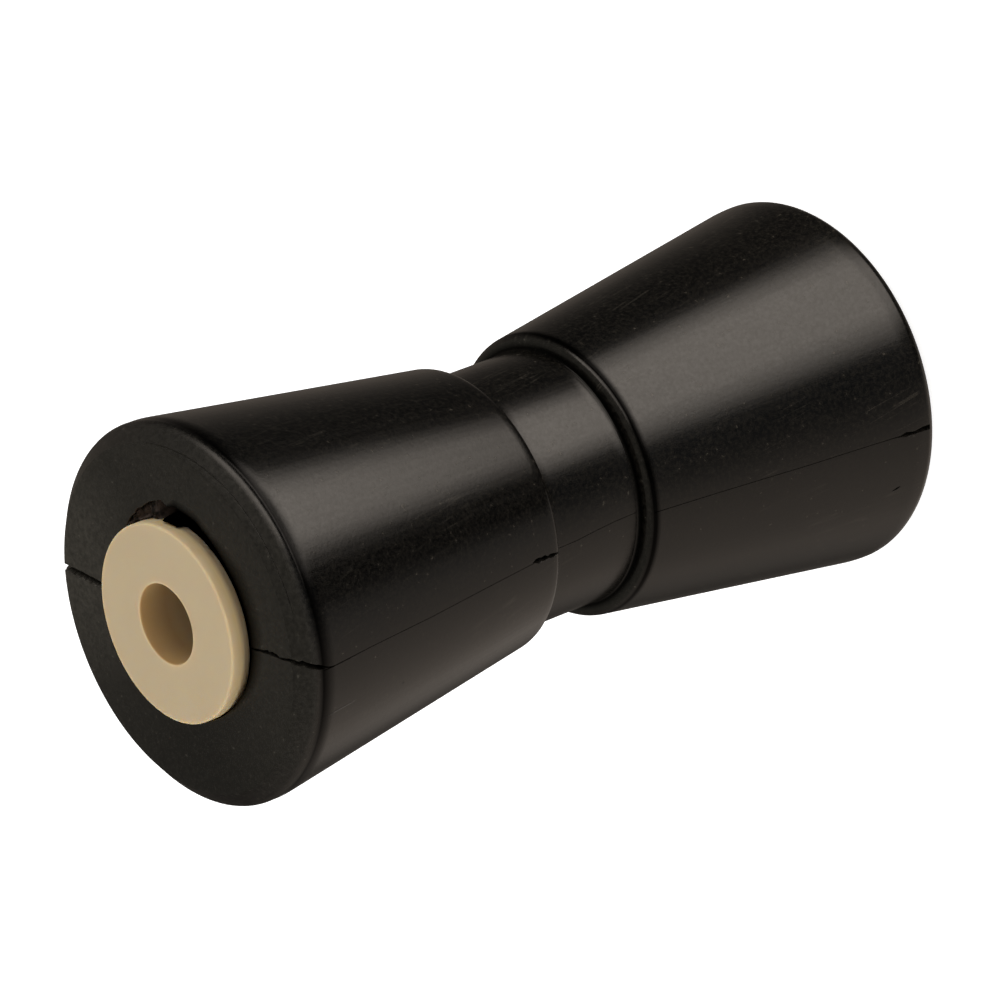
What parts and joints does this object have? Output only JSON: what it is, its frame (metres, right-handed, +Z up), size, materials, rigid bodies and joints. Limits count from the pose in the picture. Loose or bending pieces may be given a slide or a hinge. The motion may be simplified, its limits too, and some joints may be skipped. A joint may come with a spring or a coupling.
{
  "type": "boat trailer roller",
  "caption": "Hourglass rubber keel roller for a boat trailer, with a flanged nylon bushing in each end that turns on a plain shaft.",
  "frame": {"origin": "centre of the lower bushing's outer face, on which the roller stands", "axes": "+Z up along the shaft bore, towards the end with the torn rubber; the mould's parting plane holds X"},
  "size_m": [0.0938, 0.0936, 0.2094],
  "materials": {
    "rubber": "satin moulded black rubber",
    "nylon": "natural cream nylon, soft sheen"
  },
  "bodies": {
    "root": {"rubber_roller": "rubber", "upper_bushing": "nylon", "lower_bushing": "nylon"}
  },
  "joints": []
}
